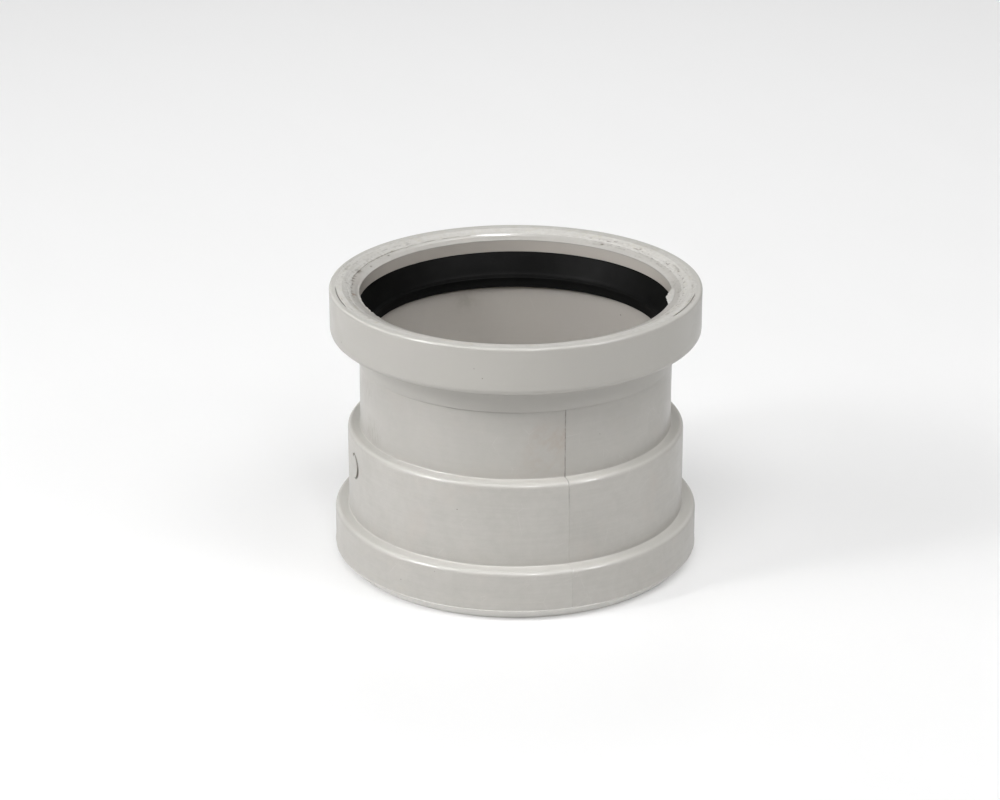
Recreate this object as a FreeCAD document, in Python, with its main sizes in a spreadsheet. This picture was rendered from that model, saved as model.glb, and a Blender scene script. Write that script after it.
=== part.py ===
import FreeCAD, Part
import os
import Sketcher

# Push fit coupling for two plastic pipes of different size, which meet end to end at a stop inside it.
# Millimetres, +Z up, origin at the centre of the bottom face, Z along the pipes' common axis.
# Every piece is a ring about Z: each is turned from one closed outline of (radius, height) corners.

SIZES = {
    # the moulded body: neck, barrel and lower seal housing in one
    "neck_radius": 84.5,
    "neck_bore": 80.4,
    "neck_end": 123.2,
    "shoulder_height": 75.0,
    "barrel_radius": 91.4,
    "barrel_bore": 87.9,
    "barrel_ceiling": 71.2,
    "stop_radius": 77.0,
    "stop_top": 76.0,
    "housing_radius": 98.9,
    "housing_wall": 3.6,
    "housing_shoulder": 28.3,
    "recess_ceiling": 24.3,
    "shoulder_round": 2.6,
    "inner_round": 0.8,
    # the round stub on the barrel where the mould's gate was cut off
    "gate_radius": 7.0,
    "gate_height": 59.5,
    "gate_stub": 0.6,
    "gate_root": 2.0,
    "gate_angle": -72.0,
    # the upper collar, a seal housing whose conical skirt laps over the neck's end
    "rim_height": 153.5,
    "collar_radius": 100.0,
    "collar_wall": 3.5,
    "ledge_height": 127.7,
    "floor_height": 131.7,
    "floor_bore": 88.0,
    "throat_radius": 83.2,
    "throat_height": 126.2,
    "cone_radius": 89.2,
    "skirt_foot": 113.0,
    "skirt_edge": 0.9,
    "rim_round": 3.2,
    "ledge_round": 3.4,
    # the two nested rings that close the upper housing
    "ring_seat": 142.5,
    "ring_flat_radius": 93.3,
    "joint_radius": 89.0,
    "joint_height": 151.8,
    "mouth_radius": 83.7,
    "mouth_height": 149.7,
    "mouth_foot_radius": 84.5,
    "mouth_round": 0.3,
    # the ring that closes the lower housing
    "seam_height": 6.2,
    "sole_radius": 93.4,
    "spigot_top": 11.0,
    "lower_mouth_radius": 91.2,
    # the upper lip seal
    "upper_root_radius": 84.8,
    "upper_heel_radius": 91.0,
    "upper_crotch_radius": 88.0,
    "upper_crotch_height": 137.0,
    "upper_ridge_radius": 80.0,
    "upper_ridge_height": 130.0,
    "upper_land_top": 126.0,
    "upper_tip_height": 123.6,
    "upper_lip_radius": 78.25,
    # the lower lip seal
    "lower_root_radius": 91.6,
    "lower_heel_radius": 92.8,
    "lower_crotch_radius": 92.4,
    "lower_crotch_height": 14.8,
    "lower_ridge_radius": 87.8,
    "lower_ridge_height": 18.4,
    "lower_land_foot": 21.4,
    "lower_tip_height": 23.6,
    "lower_lip_radius": 85.9,
    "lip_thickness": 2.6,
    "lip_tip_thickness": 1.6,
    "lip_tip_round": 0.5,
    # shared: the cement line between two rings that fit together, and the bevel where a pipe enters
    "bond_gap": 0.05,
    "lead_in": 0.6,
}


def make_sheet(document):
    """The spreadsheet that holds the driving dimensions, one aliased number to a row."""
    sheet = document.addObject("Spreadsheet::Sheet", "Sizes")
    for row, (alias, value) in enumerate(SIZES.items(), start=1):
        cell = f"A{row}"
        sheet.set(cell, str(value))
        sheet.setAlias(cell, alias)
    document.recompute()
    return sheet


def amount(text):
    """The number that a sum of aliases, such as "collar_radius - collar_wall", comes to."""
    total = 0.0
    sign = 1
    for word in text.split():
        if word in ("+", "-"):
            sign = 1 if word == "+" else -1
        else:
            total += sign * SIZES[word]
    return total


def expression(text):
    """The same sum as an expression that reads the spreadsheet."""
    return " ".join(word if word in ("+", "-") else f"Sizes.{word}" for word in text.split())


def upright_sketch(body, name):
    """An empty sketch on the body's own XZ plane: its x is the radius and its y is the height."""
    sketch = body.newObject("Sketcher::SketchObject", name)
    plane = next(item for item in body.Origin.OriginFeatures if item.Role == "XZ_Plane")
    sketch.AttachmentSupport = [(plane, "")]
    sketch.MapMode = "FlatFace"
    doc.recompute()
    return sketch


def add_outline(body, corners):
    """A closed outline, each corner bound to the sheet. "base" is height zero."""
    sketch = upright_sketch(body, f"{body.Label}_outline")
    heights = [0.0 if height == "base" else amount(height) for _, height in corners]
    spots = [FreeCAD.Vector(amount(radius), z, 0) for (radius, _), z in zip(corners, heights)]
    count = len(spots)
    for index, spot in enumerate(spots):
        sketch.addGeometry(Part.LineSegment(spot, spots[(index + 1) % count]), False)
    for index in range(count):
        sketch.addConstraint(Sketcher.Constraint("Coincident", index, 2, (index + 1) % count, 1))
    for index, (radius, height) in enumerate(corners):
        across = Sketcher.Constraint("DistanceX", -1, 1, index, 1, spots[index].x)
        place = sketch.addConstraint(across)
        sketch.setExpression(f"Constraints[{place}]", expression(radius))
        if height == "base":
            sketch.addConstraint(Sketcher.Constraint("PointOnObject", index, 1, -1))
        else:
            up = Sketcher.Constraint("DistanceY", -1, 1, index, 1, spots[index].y)
            place = sketch.addConstraint(up)
            sketch.setExpression(f"Constraints[{place}]", expression(height))
    doc.recompute()
    return sketch


def circle_edges(shape, corners):
    """The names of the shape's round edges that lie at the given (radius, height) corners."""
    close = 1e-4
    names = []
    for radius, height in corners:
        r, z = amount(radius), amount(height)
        for number, edge in enumerate(shape.Edges, start=1):
            curve = edge.Curve
            if not isinstance(curve, Part.Circle):
                continue
            if abs(curve.Radius - r) < close and abs(curve.Center.z - z) < close:
                names.append(f"Edge{number}")
    if len(names) != len(corners):
        raise RuntimeError(f"found {names} for {corners}")
    return names


def turned_ring(label, corners, rounds=()):
    """A body turned about Z from its outline, with some of its corners rounded.

    rounds lists (alias of the rounding radius, [corners]) pairs."""
    body = doc.addObject("PartDesign::Body", label)
    body.Label = label
    sketch = add_outline(body, corners)
    turned = body.newObject("PartDesign::Revolution", f"{label}_turned")
    turned.Profile = sketch
    turned.ReferenceAxis = (sketch, ["V_Axis"])
    turned.Angle = 360.0
    doc.recompute()
    last = turned
    for number, (alias, places) in enumerate(rounds, start=1):
        fillet = body.newObject("PartDesign::Fillet", f"{label}_round_{number}")
        fillet.Base = (last, circle_edges(last.Shape, places))
        fillet.setExpression("Radius", expression(alias))
        doc.recompute()
        last = fillet
    body.Tip = last
    body.Placement = FreeCAD.Placement()
    doc.recompute()
    return body


def add_gate_mark(body):
    """Pad the gate's stub out of the barrel wall, at its own angle round Z from the front."""
    sketch = upright_sketch(body, "gate_mark_outline")
    turn = FreeCAD.Rotation(FreeCAD.Vector(0, 1, 0), SIZES["gate_angle"])
    inside_wall = FreeCAD.Vector(0, 0, amount("barrel_radius - gate_root"))
    sketch.AttachmentOffset = FreeCAD.Placement(turn.multVec(inside_wall), turn)
    centre = FreeCAD.Vector(0, amount("gate_height"), 0)
    circle = Part.Circle(centre, FreeCAD.Vector(0, 0, 1), amount("gate_radius"))
    sketch.addGeometry(circle, False)
    sketch.addConstraint(Sketcher.Constraint("PointOnObject", 0, 3, -2))
    up = sketch.addConstraint(Sketcher.Constraint("DistanceY", -1, 1, 0, 3, centre.y))
    sketch.setExpression(f"Constraints[{up}]", expression("gate_height"))
    size = sketch.addConstraint(Sketcher.Constraint("Radius", 0, circle.Radius))
    sketch.setExpression(f"Constraints[{size}]", expression("gate_radius"))
    before = body.Shape.Volume
    stub = body.newObject("PartDesign::Pad", "gate_mark")
    stub.Profile = sketch
    stub.setExpression("Length", expression("gate_root + gate_stub"))
    doc.recompute()
    body.Tip = stub
    doc.recompute()
    if body.Shape.Volume <= before:
        raise RuntimeError("the gate mark adds nothing")


def coupling_body():
    """Neck, barrel and lower housing. A stop rib inside the shoulder keeps the two pipe ends apart."""
    recess = "housing_radius - housing_wall"
    corners = [
        ("neck_radius", "neck_end"),
        ("neck_radius", "shoulder_height"),
        ("barrel_radius", "shoulder_height"),
        ("barrel_radius", "housing_shoulder"),
        ("housing_radius", "housing_shoulder"),
        ("housing_radius", "seam_height"),
        (recess, "seam_height"),
        (recess, "recess_ceiling"),
        ("barrel_bore", "recess_ceiling"),
        ("barrel_bore", "barrel_ceiling"),
        ("stop_radius", "barrel_ceiling"),
        ("stop_radius", "stop_top"),
        ("neck_bore", "stop_top"),
        ("neck_bore", "neck_end - lead_in"),
        ("neck_bore + lead_in", "neck_end"),
    ]
    outer_edges = [("barrel_radius", "shoulder_height"), ("housing_radius", "housing_shoulder")]
    inner_edges = [("neck_radius", "shoulder_height"), ("barrel_radius", "housing_shoulder")]
    rounds = [("shoulder_round", outer_edges), ("inner_round", inner_edges)]
    body = turned_ring("coupling_body", corners, rounds)
    add_gate_mark(body)
    return body


def upper_collar():
    """The upper seal housing, with the skirt that is cemented over the neck."""
    lap = "neck_radius + bond_gap"
    recess = "collar_radius - collar_wall"
    corners = [
        (lap, "skirt_foot"),
        ("neck_radius + skirt_edge", "skirt_foot"),
        ("cone_radius", "ledge_height"),
        ("collar_radius", "ledge_height"),
        ("collar_radius", "rim_height"),
        (recess, "rim_height"),
        (recess, "floor_height"),
        ("floor_bore", "floor_height"),
        ("throat_radius", "throat_height"),
        ("throat_radius", "neck_end"),
        (lap, "neck_end"),
    ]
    rounds = [
        ("rim_round", [("collar_radius", "rim_height")]),
        ("ledge_round", [("collar_radius", "ledge_height")]),
        ("inner_round", [("cone_radius", "ledge_height")]),
    ]
    return turned_ring("upper_collar", corners, rounds)


def upper_retaining_ring():
    """The outer of the two nested rings, cemented into the collar over the seal's heel."""
    outside = "collar_radius - collar_wall - bond_gap"
    corners = [
        (outside, "ring_seat"),
        (outside, "rim_height"),
        ("ring_flat_radius", "rim_height"),
        ("joint_radius", "joint_height"),
        ("joint_radius", "ring_seat"),
    ]
    return turned_ring("upper_retaining_ring", corners)


def upper_mouth_ring():
    """The inner nested ring: a smooth bevelled mouth that guides the pipe on to the seal."""
    outside = "joint_radius - bond_gap"
    corners = [
        (outside, "ring_seat"),
        (outside, "joint_height"),
        ("mouth_radius", "mouth_height"),
        ("mouth_foot_radius", "ring_seat"),
    ]
    rounds = [("mouth_round", [("mouth_radius", "mouth_height")])]
    return turned_ring("upper_mouth_ring", corners, rounds)


def upper_seal():
    """A rubber ring: a heel held in the collar's recess, and a lip that hangs down the neck."""
    outside = "collar_radius - collar_wall - bond_gap"
    corners = [
        ("upper_root_radius", "ring_seat"),
        (outside, "ring_seat"),
        (outside, "floor_height"),
        ("upper_heel_radius", "floor_height"),
        ("upper_crotch_radius", "upper_crotch_height"),
        ("upper_ridge_radius + lip_thickness", "upper_ridge_height"),
        ("upper_lip_radius + lip_tip_thickness", "upper_tip_height"),
        ("upper_lip_radius", "upper_tip_height"),
        ("upper_lip_radius", "upper_land_top"),
        ("upper_ridge_radius", "upper_ridge_height"),
    ]
    rounds = [("lip_tip_round", [("upper_lip_radius + lip_tip_thickness", "upper_tip_height")])]
    return turned_ring("upper_seal", corners, rounds)


def lower_seal():
    """The larger rubber ring in the body's lower housing, its lip pointing up the barrel."""
    outside = "housing_radius - housing_wall - bond_gap"
    corners = [
        ("lower_root_radius", "spigot_top"),
        (outside, "spigot_top"),
        (outside, "recess_ceiling"),
        ("lower_heel_radius", "recess_ceiling"),
        ("lower_crotch_radius", "lower_crotch_height"),
        ("lower_ridge_radius + lip_thickness", "lower_ridge_height"),
        ("lower_lip_radius + lip_tip_thickness", "lower_tip_height"),
        ("lower_lip_radius", "lower_tip_height"),
        ("lower_lip_radius", "lower_land_foot"),
        ("lower_ridge_radius", "lower_ridge_height"),
    ]
    rounds = [("lip_tip_round", [("lower_lip_radius + lip_tip_thickness", "lower_tip_height")])]
    return turned_ring("lower_seal", corners, rounds)


def lower_end_ring():
    """The ring that closes the lower housing: a spigot inside the wall and a bevelled foot below it."""
    spigot = "housing_radius - housing_wall - bond_gap"
    corners = [
        (spigot, "spigot_top"),
        (spigot, "seam_height"),
        ("housing_radius", "seam_height"),
        ("sole_radius", "base"),
        ("lower_mouth_radius + lead_in", "base"),
        ("lower_mouth_radius", "lead_in"),
        ("lower_mouth_radius", "spigot_top"),
    ]
    return turned_ring("lower_end_ring", corners)


def export(pieces):
    """Stop on any failed object or bad shape, then write each piece as its own STEP file."""
    for item in doc.Objects:
        if "Invalid" in item.State or "Error" in item.State:
            raise RuntimeError(f"{item.Label} is {item.State}")
    for piece in pieces:
        shape = piece.Shape
        if shape.isNull() or not shape.isValid() or len(shape.Solids) != 1:
            raise RuntimeError(f"{piece.Label} has a bad shape")
        box = shape.BoundBox
        print(f"{piece.Label}: {shape.Volume / 1000:.1f} cm3, z {box.ZMin:.2f} to {box.ZMax:.2f}")
    os.makedirs("parts", exist_ok=True)
    for piece in pieces:
        piece.Shape.exportStep(f"parts/{piece.Label}.step")


doc = FreeCAD.newDocument("push_fit_coupling")
make_sheet(doc)
export(
    [
        coupling_body(),
        upper_collar(),
        upper_retaining_ring(),
        upper_mouth_ring(),
        upper_seal(),
        lower_seal(),
        lower_end_ring(),
    ]
)
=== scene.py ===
"""A push-fit pipe coupling in pale grey PVC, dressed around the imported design.

Sizes are in millimetres unless a name says otherwise, and MM turns them into metres. A bearing is
an angle in degrees round the Z axis: 0 faces the camera (-Y), and it grows towards +X.
"""
import math

import bmesh
import bpy
import numpy as np
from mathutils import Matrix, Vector


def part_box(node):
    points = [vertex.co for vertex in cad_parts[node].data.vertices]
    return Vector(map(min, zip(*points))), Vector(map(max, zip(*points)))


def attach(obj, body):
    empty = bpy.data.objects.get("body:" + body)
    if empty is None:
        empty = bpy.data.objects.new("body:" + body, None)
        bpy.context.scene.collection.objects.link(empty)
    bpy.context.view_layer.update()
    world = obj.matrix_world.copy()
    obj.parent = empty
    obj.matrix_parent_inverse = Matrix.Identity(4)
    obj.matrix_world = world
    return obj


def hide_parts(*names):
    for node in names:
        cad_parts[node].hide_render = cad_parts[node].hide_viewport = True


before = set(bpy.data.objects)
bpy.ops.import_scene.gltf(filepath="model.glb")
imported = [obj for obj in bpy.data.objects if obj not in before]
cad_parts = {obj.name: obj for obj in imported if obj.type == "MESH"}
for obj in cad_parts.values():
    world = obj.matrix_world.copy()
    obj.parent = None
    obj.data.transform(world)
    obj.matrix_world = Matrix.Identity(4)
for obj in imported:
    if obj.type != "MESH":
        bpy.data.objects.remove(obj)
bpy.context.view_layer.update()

MM = 0.001
TURN = 360.0
BODY = "root"

# ---------------------------------------------------------------- sizes


def reach(node):
    """The outer radius of a round CAD node."""
    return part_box(node)[1].y / MM


def foot(node):
    """The lowest height of a CAD node."""
    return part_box(node)[0].z / MM


def top(node):
    """The highest height of a CAD node."""
    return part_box(node)[1].z / MM


COLLAR_RADIUS = reach("upper_collar")
COLLAR_TOP = top("upper_collar")
SKIRT_FOOT = foot("upper_collar")
LEDGE_HEIGHT = 127.7
LEDGE_ROUND = 3.4
SKIRT_BORE = 84.55
SKIRT_TOP_RADIUS = 89.2
SKIRT_LIP = 0.85
RIM_ROUND = 3.2
GROOVE_FLOOR = 131.7
GROOVE_BORE = 88.0

NECK_RADIUS = 84.5
NECK_BORE = 80.4
NECK_TOP = top("coupling_body")
NECK_LEAD_IN = 0.6
THROAT_RADIUS = 83.2
THROAT_HEIGHT = 126.2
STOP_BORE = 77.0
STOP_TOP = 76.0
STOP_FOOT = 71.2
BARREL_RADIUS = 91.4
BARREL_BORE = 87.9
BARREL_TOP = 75.0
HOUSING_RADIUS = reach("coupling_body")
HOUSING_BORE = 95.3
HOUSING_TOP = 28.3
HOUSING_FOOT = foot("coupling_body")
HOUSING_ROOF = 24.3
SHOULDER_ROUND = 2.6
END_RING_TOP = 11.0
END_RING_BORE = 91.2
END_RING_FOOT = 93.4
FIT = 0.05

OUTER_SEAM = reach("upper_retaining_ring")
INNER_SEAM = reach("upper_mouth_ring")
MOUTH_RADIUS = 83.7
MOUTH_EDGE = 149.7
MOUTH_CROWN = (86.4, 151.15)
RING_FOOT = foot("upper_mouth_ring")
RIM_FLAT = 93.3
MOUTH_CREST = top("upper_mouth_ring")

SEAL_FOOT = foot("upper_seal")
UPPER_LIP_BORE = 78.25
LOWER_LIP_BORE = 85.9
UPPER_BEAD = 130.4
LOWER_BEAD = 18.2

# bearings of marks, with heights in millimetres where a mark has one
PARTING = 17.5
PARTINGS = (PARTING, PARTING + TURN / 2)
GATE_BEARING = -72.0
GATE_HEIGHT = 59.5
GATE_RADIUS = 7.0
RUST_BEARING = -82.0
# bearing of the painted shade inside the bore
BORE_SHADE_BEARING = 200.0
LAP_BEARING = -25.0
NICK_BEARING = -65.1
CHIP_BEARING = 149.6

# the rim's top surface, from the mouth's edge out to the collar
RIM_RADII = (MOUTH_RADIUS, MOUTH_CROWN[0], INNER_SEAM, RIM_FLAT, COLLAR_RADIUS)
RIM_HEIGHTS = (MOUTH_EDGE, MOUTH_CROWN[1], MOUTH_CREST, COLLAR_TOP, COLLAR_TOP)

# ---------------------------------------------------------------- outlines and ring meshes

DEFAULT_ROUND = 0.25
EDGE_SUPPORT = 0.15
ARC_STEP = math.radians(13)
COARSE = 2.4
FINE = 0.4
BODY_TURNS = 370
COLLAR_TURNS = 670
RIM_TURNS = 1100
SEAL_TURNS = 420
END_RING_TURNS = 480
CEMENT_TURNS = 900


def unit(vector):
    return vector / np.linalg.norm(vector)


def arc(before, corner, after, size):
    """Points on the round that replaces a corner, and how far the round eats into each side."""
    back, ahead = unit(before - corner), unit(after - corner)
    half = math.acos(np.clip(back @ ahead, -1, 1)) / 2
    room = 0.42 * min(np.linalg.norm(before - corner), np.linalg.norm(after - corner))
    cut = min(size / math.tan(half), room)
    size = cut * math.tan(half)
    centre = corner + unit(back + ahead) * size / math.sin(half)
    start, end = corner + back * cut - centre, corner + ahead * cut - centre
    sweep = math.pi - 2 * half
    count = max(2, math.ceil(sweep / ARC_STEP))
    turns = np.linspace(0, 1, count + 1)[:, None]
    weights = np.sin((1 - turns) * sweep), np.sin(turns * sweep)
    return centre + (weights[0] * start + weights[1] * end) / math.sin(sweep)


def outline(corners):
    """A closed outline from (radius, height, round, step) corners, counter-clockwise.

    The step is the longest piece of the side that follows the corner."""
    full = [tuple(c) + (DEFAULT_ROUND, COARSE)[len(c) - 2:] for c in corners]
    places = np.array([c[:2] for c in full], float)
    arcs = [arc(places[i - 1], places[i], places[(i + 1) % len(full)], full[i][2])
            for i in range(len(full))]
    points = []
    for i, curve in enumerate(arcs):
        points.extend(curve)
        side = arcs[(i + 1) % len(arcs)][0] - curve[-1]
        length = np.linalg.norm(side)
        if length < 3 * EDGE_SUPPORT:
            continue
        first, last = EDGE_SUPPORT / length, 1 - EDGE_SUPPORT / length
        count = max(1, math.ceil(length / full[i][3]))
        points.extend(curve[-1] + side * share for share in np.linspace(first, last, count + 1))
    points = np.array(points)
    after = np.roll(points, -1, 0)
    area = np.sum(points[:, 0] * after[:, 1] - after[:, 0] * points[:, 1])
    return points if area > 0 else points[::-1]


def bearings(count, details=()):
    """Evenly spaced bearings round the turn, with extra ones packed close to each detail."""
    even = np.arange(count) * TURN / count
    close = np.array([-0.9, -0.55, -0.35, -0.22, -0.12, 0, 0.12, 0.22, 0.35, 0.55, 0.9])
    extra = [(detail + close) % TURN for detail in details]
    return np.unique(np.round(np.concatenate([even, *extra]), 4))


def ring_points(radius, height, bearing):
    """Row-frame points, in metres, for arrays of cylindrical places."""
    angle = np.radians(bearing)
    return np.stack((radius * np.sin(angle), -radius * np.cos(angle), height), -1) * MM


def closed_grid(rows, columns, wrap_rows=True):
    """Quads over a grid of rows by columns whose columns close on themselves."""
    row, column = np.meshgrid(np.arange(rows), np.arange(columns), indexing="ij")
    if not wrap_rows:
        row, column = row[:-1], column[:-1]
    after_row, after_column = (row + 1) % rows, (column + 1) % columns
    faces = (row * columns + column, after_row * columns + column,
             after_row * columns + after_column, row * columns + after_column)
    return np.stack(faces, -1).reshape(-1, 4)


def make_piece(name, points, faces, material):
    """A smooth mesh object that rides on the coupling and takes its finish from a slot."""
    mesh = bpy.data.meshes.new(name)
    mesh.from_pydata(points.reshape(-1, 3).tolist(), [], faces.tolist())
    mesh.shade_smooth()
    mesh.materials.append(material)
    piece = bpy.data.objects.new(name, mesh)
    bpy.context.scene.collection.objects.link(piece)
    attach(piece, BODY)
    return piece


def set_mark(piece, name, values):
    """Stores one number a point, which the materials read as dirt or wear."""
    attribute = piece.data.attributes.new(name, "FLOAT", "POINT")
    attribute.data.foreach_set("value", np.ascontiguousarray(values, np.float32).ravel())


def turned(name, corners, turns, material, relief=None, dirt=None):
    """A ring: the outline carried round the Z axis, pushed out along its normal by the relief."""
    points = outline(corners)
    along = np.roll(points, -1, 0) - np.roll(points, 1, 0)
    along /= np.linalg.norm(along, axis=1)[:, None]
    bearing, radius = np.meshgrid(turns, points[:, 0], indexing="ij")
    height = np.broadcast_to(points[:, 1], radius.shape)
    out, up = along[:, 1], -along[:, 0]
    push = relief(radius, height, bearing, out) if relief else 0.0
    moved = ring_points(radius + push * out, height + push * up, bearing)
    piece = make_piece(name, moved, closed_grid(*radius.shape), material)
    if dirt:
        set_mark(piece, "dirt", dirt(radius, height, bearing))
    return piece


# ---------------------------------------------------------------- relief


def bump(value, middle, width):
    """1 at the middle, falling off smoothly over the width."""
    return np.exp(-((value - middle) / width) ** 2)


def away(bearing, middle):
    """Signed degrees from a bearing, between -180 and 180."""
    return (bearing - middle + TURN / 2) % TURN - TURN / 2


def window(bearing, start, end, soft=3.0):
    """1 between two bearings, with soft ends."""
    half = (end - start) / 2
    distance = np.abs(away(bearing, start + half))
    return np.clip((half - distance) / soft + 0.5, 0, 1)


NOISE_ROWS = 61


def ring_noise(seed, bumps, spacing, bearing, place):
    """Smooth noise from -1 to 1 that closes round the ring: bumps a turn, one a spacing across."""
    grid = np.random.default_rng(seed).uniform(-1, 1, (bumps, NOISE_ROWS))
    u = bearing / TURN % 1 * bumps
    v = place / spacing % (NOISE_ROWS - 1)
    i, j = u.astype(int) % bumps, v.astype(int)
    s, t = u - np.floor(u), v - np.floor(v)
    s, t = s * s * (3 - 2 * s), t * t * (3 - 2 * t)
    near = grid[i, j] * (1 - t) + grid[i, j + 1] * t
    far = grid[(i + 1) % bumps, j] * (1 - t) + grid[(i + 1) % bumps, j + 1] * t
    return near * (1 - s) + far * s


def waviness(seed, bearing, height, size=0.07):
    """The slow unevenness of a moulded wall."""
    return size * (ring_noise(seed, 7, 45.0, bearing, height)
                   + 0.5 * ring_noise(seed + 1, 16, 18.0, bearing, height))


PARTING_WIDTH = 0.32
PARTING_PROUD = 0.16
MOULD_SHIFT = 0.05


def body_relief(radius, height, bearing, out):
    """Mould parting ridges, the small step between the mould's halves, and a slack wall."""
    outside = (out > 0.2) & (radius > NECK_RADIUS - 1)
    push = waviness(11, bearing, height) * (np.abs(out) > 0.7)
    for parting in PARTINGS:
        offset = np.radians(away(bearing, parting)) * radius
        ridge = PARTING_PROUD * bump(offset, 0, PARTING_WIDTH)
        notch = -0.5 * bump(offset, -0.2, 0.5) * bump(height, BARREL_TOP, 1.2)
        push = push + (ridge + notch) * outside
    half = window(bearing, PARTING, PARTING + TURN / 2, 0.2)
    return push + MOULD_SHIFT * half * outside


def rim_rough(bearing):
    """How much cement is left on the rim: most at both sides, little at the back and front."""
    left = window(bearing, -150, -48, 30)
    right = window(bearing, 46, 150, 30)
    return 0.12 + 0.88 * np.maximum(left, right)


OPEN_SEAMS = ((-86, -68), (58, 80))
SEAM_HALF_WIDTH = 0.2


def seam_gap(radius, bearing):
    """1 where the outer seam stands open, because no cement fills it."""
    gap = np.zeros_like(radius)
    for start, end in OPEN_SEAMS:
        gap = np.maximum(gap, window(bearing, start, end, 10))
    ragged = 0.85 + 0.3 * ring_noise(84, 170, 9.0, bearing, radius)
    return gap * ragged * bump(radius, OUTER_SEAM, SEAM_HALF_WIDTH)


def tool_marks(seed, radius, bearing, size):
    """Fine rings left by a cutter, broken up along the turn."""
    fine = ring_noise(seed, 26, 0.55, bearing, radius)
    return size * fine * (0.6 + 0.4 * ring_noise(seed + 1, 60, 2.0, bearing, radius))


def collar_relief(radius, height, bearing, out):
    """A slack moulded wall with a cut and smeared top, and a thin uneven lip at the skirt's foot."""
    wall = waviness(23, bearing, height) * (np.abs(out) > 0.7) * (radius > NECK_RADIUS + 2)
    on_top = (height > COLLAR_TOP - 1.5) & (radius > OUTER_SEAM)
    cut = (tool_marks(31, radius, bearing, 0.02) - 0.8 * seam_gap(radius, bearing)) * on_top
    lip = 0.07 * ring_noise(41, 90, 3.0, bearing, height) * bump(height, SKIRT_FOOT, 0.8)
    return wall + cut + lip * (radius > NECK_RADIUS + 0.3)


def smear(radius, bearing):
    """Cement dragged round the rim: long ridges with torn patches between them."""
    long_ridge = ring_noise(51, 34, 0.9, bearing, radius)
    patch = ring_noise(52, 110, 1.6, bearing, radius)
    grain = ring_noise(53, 420, 0.8, bearing, radius)
    return 0.55 * long_ridge + 0.45 * patch * (patch > 0) + 0.25 * grain


def retaining_relief(radius, height, bearing, out):
    """The rough ring: cutter rings under smeared cement."""
    on_top = height > MOUTH_CREST - 0.6
    rough = 0.10 * smear(radius, bearing) * rim_rough(bearing)
    gap = 0.8 * seam_gap(radius, bearing)
    return (rough + tool_marks(61, radius, bearing, 0.02) - gap) * on_top


# small holes in the rim: bearing, size and how far inside the inner seam
PITS = ((-113.6, 0.75, 2.8), (-126.6, 0.8, 1.6), (-137.0, 0.4, 0.4), (130.0, 0.6, 0.4),
        (158.0, 0.5, 0.4), (145.9, 0.9, 2.4), (121.0, 0.7, 0.4), (104.0, 0.5, 0.4),
        (-82.0, 0.6, 0.4), (62.0, 0.6, 0.4))


def seam_pits(radius, bearing):
    """Small holes where the cement did not fill the rim, 1 at each pit's middle."""
    pits = np.zeros_like(radius)
    for place, size, inward in PITS:
        offset = np.radians(away(bearing, place)) * radius
        pit = bump(offset, 0, size) * bump(radius, INNER_SEAM - inward, 0.55 * size)
        pits = np.maximum(pits, pit)
    return pits


def mouth_relief(radius, height, bearing, out):
    """A smooth crown with pits at the seam, a chip at the back, and a thin torn burr on the left."""
    on_top = height > MOUTH_EDGE - 0.3
    crown = 0.03 * ring_noise(71, 18, 1.5, bearing, radius)
    grain = 0.04 * smear(radius + 7, bearing) * rim_rough(bearing)
    grain = grain * np.clip((radius - MOUTH_RADIUS - 1.2) / 1.5, 0, 1)
    torn = 0.75 + 0.5 * ring_noise(72, 330, 9.0, bearing, radius)
    burr = 0.6 * torn * bump(radius, MOUTH_RADIUS + 0.45, 0.4) * window(bearing, -98, -58, 8)
    nick = -0.9 * bump(np.radians(away(bearing, NICK_BEARING)) * radius, 0, 0.8)
    nick = nick * bump(radius, MOUTH_RADIUS, 1.0)
    chip = 0.4 * bump(np.radians(away(bearing, CHIP_BEARING)) * radius, 0, 1.6)
    chip = chip * bump(radius, INNER_SEAM - 2.3, 1.1)
    wobble = 0.04 * ring_noise(73, 40, 6.0, bearing, height)
    return (crown + grain + burr + nick + chip - 0.55 * seam_pits(radius, bearing)) * on_top + wobble


def rim_dirt(radius, height, bearing):
    """Grime held in the hollows of the smeared rim, in its seams and in the pits."""
    hollow = np.clip(-smear(radius, bearing) - 0.2, 0, 0.5) * 1.3 * rim_rough(bearing)
    broken = np.clip(0.2 + 1.1 * ring_noise(82, 150, 9.0, bearing, radius), 0, 1)
    line = 0.5 * bump(radius, INNER_SEAM + 0.1, 0.3) * broken * window(bearing, -164, -96, 16)
    teeth = np.clip(1.4 * ring_noise(83, 300, 9.0, bearing, radius), 0, 1)
    teeth = teeth * bump(radius, INNER_SEAM - 0.6, 1.0) * window(bearing, -110, -78, 5)
    crumbs = np.clip(ring_noise(81, 420, 1.0, bearing, radius) - 0.2, 0, 1)
    trail = 1.5 * crumbs * bump(radius, INNER_SEAM + 0.8, 1.9) * window(bearing, 54, 152, 14)
    left = 0.6 * crumbs * bump(radius, INNER_SEAM + 1.6, 1.6) * window(bearing, -126, -52, 14)
    found = hollow + line + teeth + trail + left + 1.3 * seam_pits(radius, bearing)
    found = np.clip(found + 0.6 * seam_gap(radius, bearing), 0, 1)
    return found * (height > MOUTH_EDGE + 0.2) * (radius < COLLAR_RADIUS - 2.4)


def seal_relief(bead_height, direction):
    """The moulded bead that stiffens a lip's root, with a hollow on the side of its tip."""
    def relief(radius, height, bearing, out):
        inside = out < -0.3
        bead = 0.2 * bump(height, bead_height, 0.45)
        hollow = -0.3 * bump(height, bead_height + direction * 3.4, 1.5)
        slack = 0.12 * ring_noise(91, 12, 9.0, bearing, height)
        return (bead + hollow) * inside + slack * (np.abs(out) > 0.5)
    return relief


# ---------------------------------------------------------------- materials


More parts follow.
